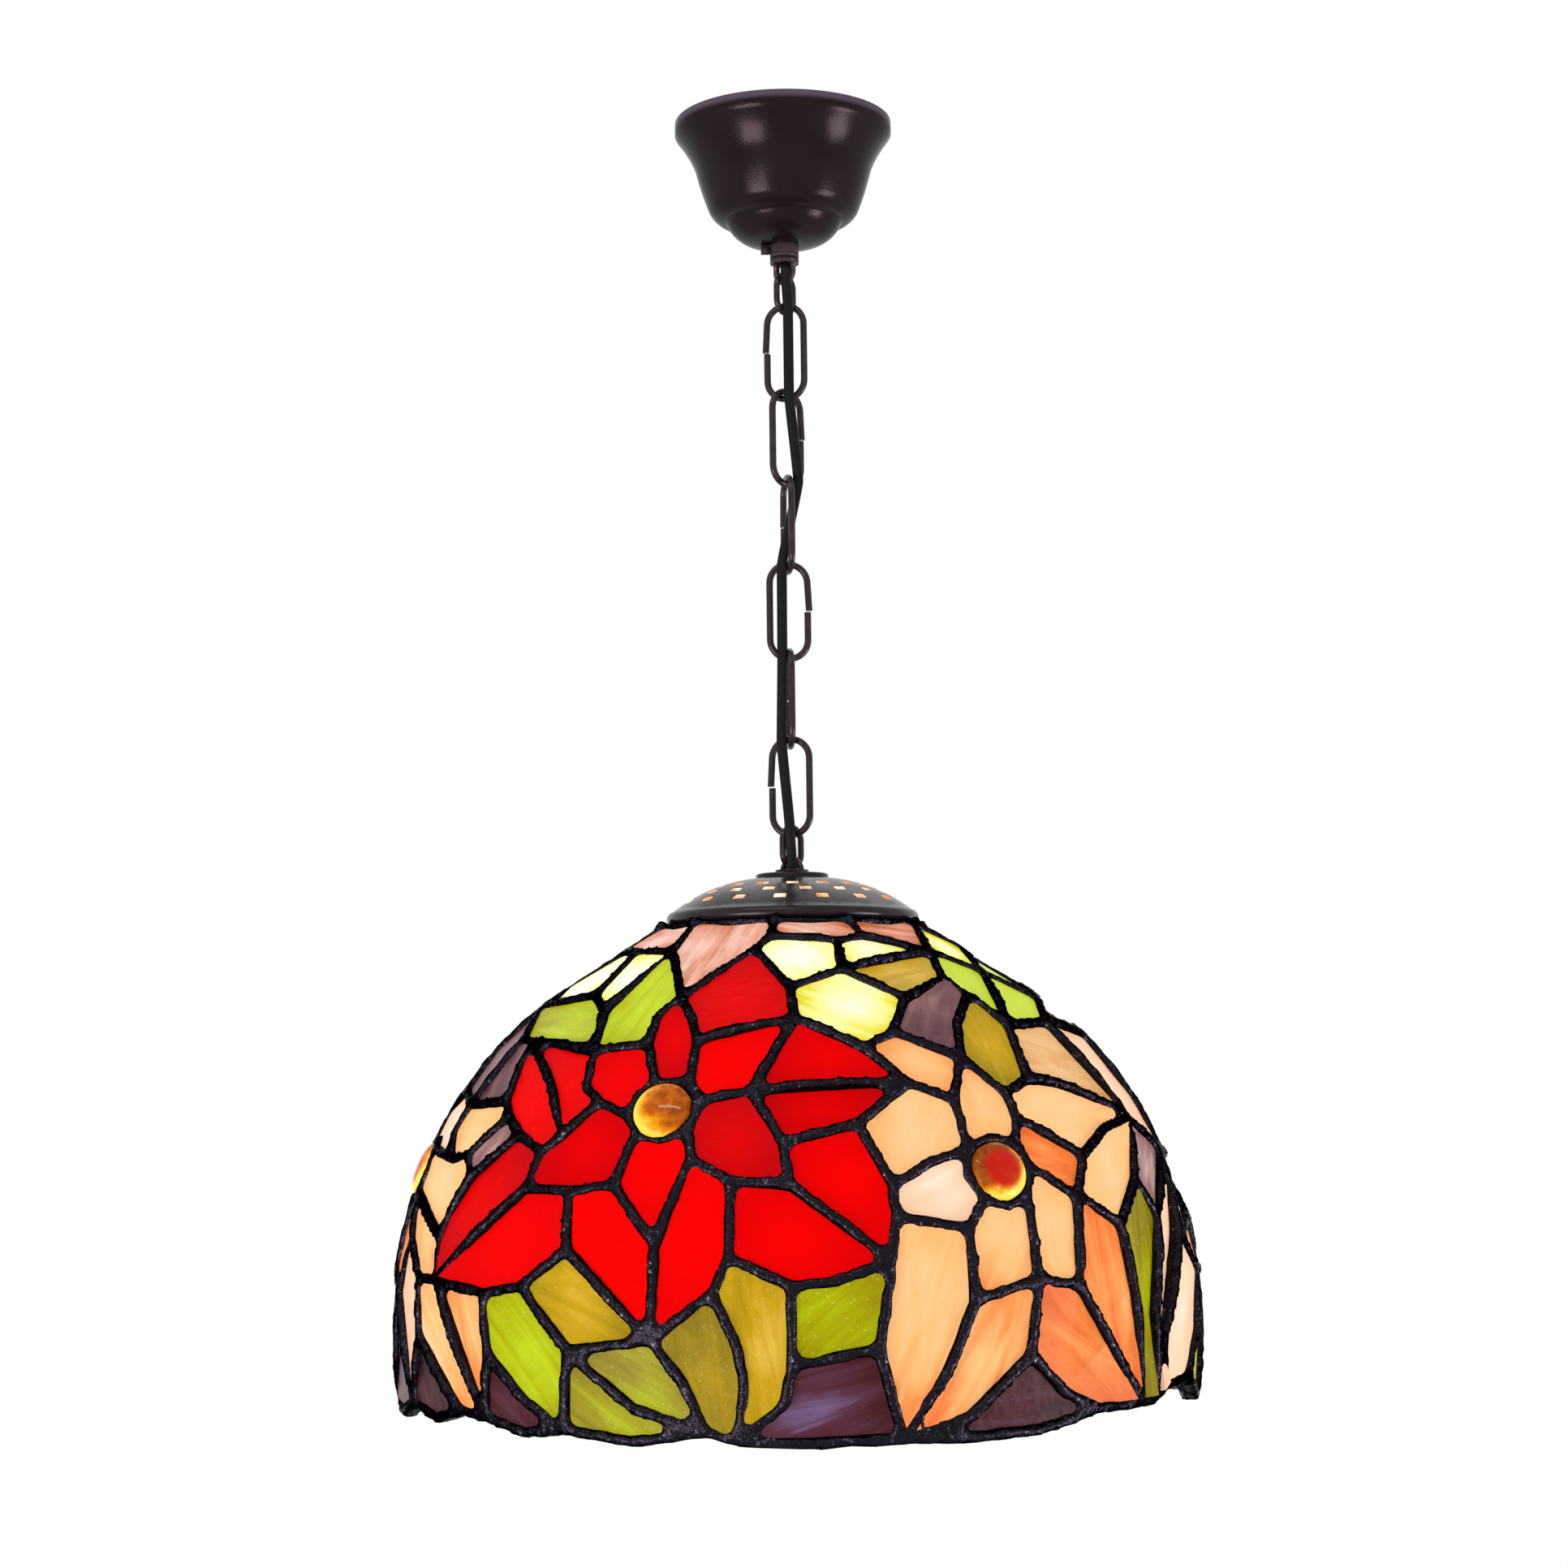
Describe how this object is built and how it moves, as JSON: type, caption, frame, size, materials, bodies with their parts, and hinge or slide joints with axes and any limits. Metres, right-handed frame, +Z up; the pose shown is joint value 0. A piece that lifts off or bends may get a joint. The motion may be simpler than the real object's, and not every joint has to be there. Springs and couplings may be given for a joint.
{
  "type": "pendant lamp",
  "caption": "Leaded glass pendant lamp: domed floral shade with a vent cap, hung on a wire chain from a bell canopy, with lamp holder, bulb and cord.",
  "frame": {"origin": "centre of the two bracket slots, on the ceiling plane", "axes": "+Z up into the ceiling, -Y towards the front, +X to the right"},
  "size_m": [0.2964, 0.2966, 0.4827],
  "materials": {
    "canopy": "satin dark bronze",
    "bracket": "zinc-plated steel",
    "brass": "plain brass",
    "block": "white terminal block",
    "chain": "dark bronze wire",
    "cap": "glossy black",
    "steel": "plain steel",
    "holder": "black phenolic",
    "core": "glazed porcelain",
    "bulb_metal": "bulb screw cap",
    "bulb_glass": "frosted",
    "filament": "glowing filament sticks",
    "lead": "dark patinated lead and solder",
    "cord": "black cord",
    "glass_crown_pink": "opalescent, streaked",
    "glass_yellow": "opalescent",
    "glass_amber": "seedy",
    "glass_green": "opalescent",
    "glass_mauve": "opalescent, streaked",
    "glass_maroon": "streaked",
    "glass_tan": "opalescent",
    "glass_red": "cathedral red",
    "glass_peach": "opalescent, streaked",
    "glass_orange": "opalescent, streaked",
    "glass_white": "opalescent",
    "cabochon": "domed amber"
  },
  "bodies": {
    "ceiling": {"bracket_bar": "bracket", "ground_screw": "brass", "terminal_block": "block", "terminal_screws": "brass", "canopy_nipple": "bracket", "nipple_nuts": "bracket", "canopy_cup": "canopy", "canopy_collar": "canopy", "hang_loop": "canopy", "mains_cord": "cord"},
    "set_screw": {"set_screw": "canopy"},
    "top_ring": {"top_ring": "chain"},
    "link_a": {"chain_link_a": "chain"},
    "link_b": {"chain_link_b": "chain"},
    "link_c": {"chain_link_c": "chain"},
    "link_d": {"chain_link_d": "chain"},
    "link_e": {"chain_link_e": "chain"},
    "link_f": {"chain_link_f": "chain"},
    "bottom_ring": {"bottom_ring": "chain"},
    "shade": {"cap_loop": "chain", "disc_washer": "cap", "vent_cap": "cap", "seat_washer": "steel", "stem_nut": "steel", "holder_cap": "holder", "holder_core": "core", "holder_contacts": "brass", "holder_shell": "holder", "skirt_ring": "holder", "lead_web": "lead", "cabochons_red_flower": "cabochon", "cabochons_round_flower": "cabochon", "cabochons_side_flower": "cabochon", "glass_crown_pink": "glass_crown_pink", "glass_yellow": "glass_yellow", "glass_amber": "glass_amber", "glass_green": "glass_green", "glass_mauve": "glass_mauve", "glass_maroon": "glass_maroon", "glass_tan": "glass_tan", "glass_red": "glass_red", "glass_peach": "glass_peach", "glass_orange": "glass_orange", "glass_white": "glass_white"},
    "bulb": {"bulb_cap": "bulb_metal", "bulb_glass": "bulb_glass", "bulb_filament": "filament"}
  },
  "joints": [
    {"name": "top_ring_swing", "type": "hinge", "parent": "ceiling", "child": "top_ring", "pos_m": [0, 0, -0.0618], "axis": [0.766, -0.6428, 0], "range_deg": [-12, 12], "deforming": ["mains_cord"]},
    {"name": "link_a_swing", "type": "hinge", "parent": "top_ring", "child": "link_a", "pos_m": [0, 0, -0.07385], "axis": [0.6428, 0.766, 0], "range_deg": [-12, 12]},
    {"name": "link_b_swing", "type": "hinge", "parent": "link_a", "child": "link_b", "pos_m": [0, 0, -0.1072], "axis": [0.9659, -0.2588, 0], "range_deg": [-12, 12]},
    {"name": "link_c_swing", "type": "hinge", "parent": "link_b", "child": "link_c", "pos_m": [0, 0, -0.14045], "axis": [0.7314, 0.682, 0], "range_deg": [-12, 12]},
    {"name": "link_d_swing", "type": "hinge", "parent": "link_c", "child": "link_d", "pos_m": [0, 0, -0.1737], "axis": [-0.2079, 0.9781, 0], "range_deg": [-12, 12]},
    {"name": "link_e_swing", "type": "hinge", "parent": "link_d", "child": "link_e", "pos_m": [0, 0, -0.20695], "axis": [0.9903, 0.1392, 0], "range_deg": [-12, 12]},
    {"name": "link_f_swing", "type": "hinge", "parent": "link_e", "child": "link_f", "pos_m": [0, 0, -0.2402], "axis": [-0.1045, 0.9945, 0], "range_deg": [-12, 12]},
    {"name": "bottom_ring_swing", "type": "hinge", "parent": "link_f", "child": "bottom_ring", "pos_m": [0, 0, -0.27345], "axis": [0.9659, -0.2588, 0], "range_deg": [-12, 12]},
    {"name": "shade_swing", "type": "hinge", "parent": "bottom_ring", "child": "shade", "pos_m": [0, 0, -0.2854], "axis": [0.7071, 0.7071, 0], "range_deg": [-12, 12]},
    {"name": "bulb_turn", "type": "hinge", "parent": "shade", "child": "bulb", "pos_m": [0, 0, -0.34], "axis": [0, 0, -1], "range_deg": [0, 1440]},
    {"name": "set_screw_turn", "type": "hinge", "parent": "ceiling", "child": "set_screw", "pos_m": [-0.006, 0, -0.0493], "axis": [-1, 0, 0], "range_deg": [0, 1080]}
  ]
}
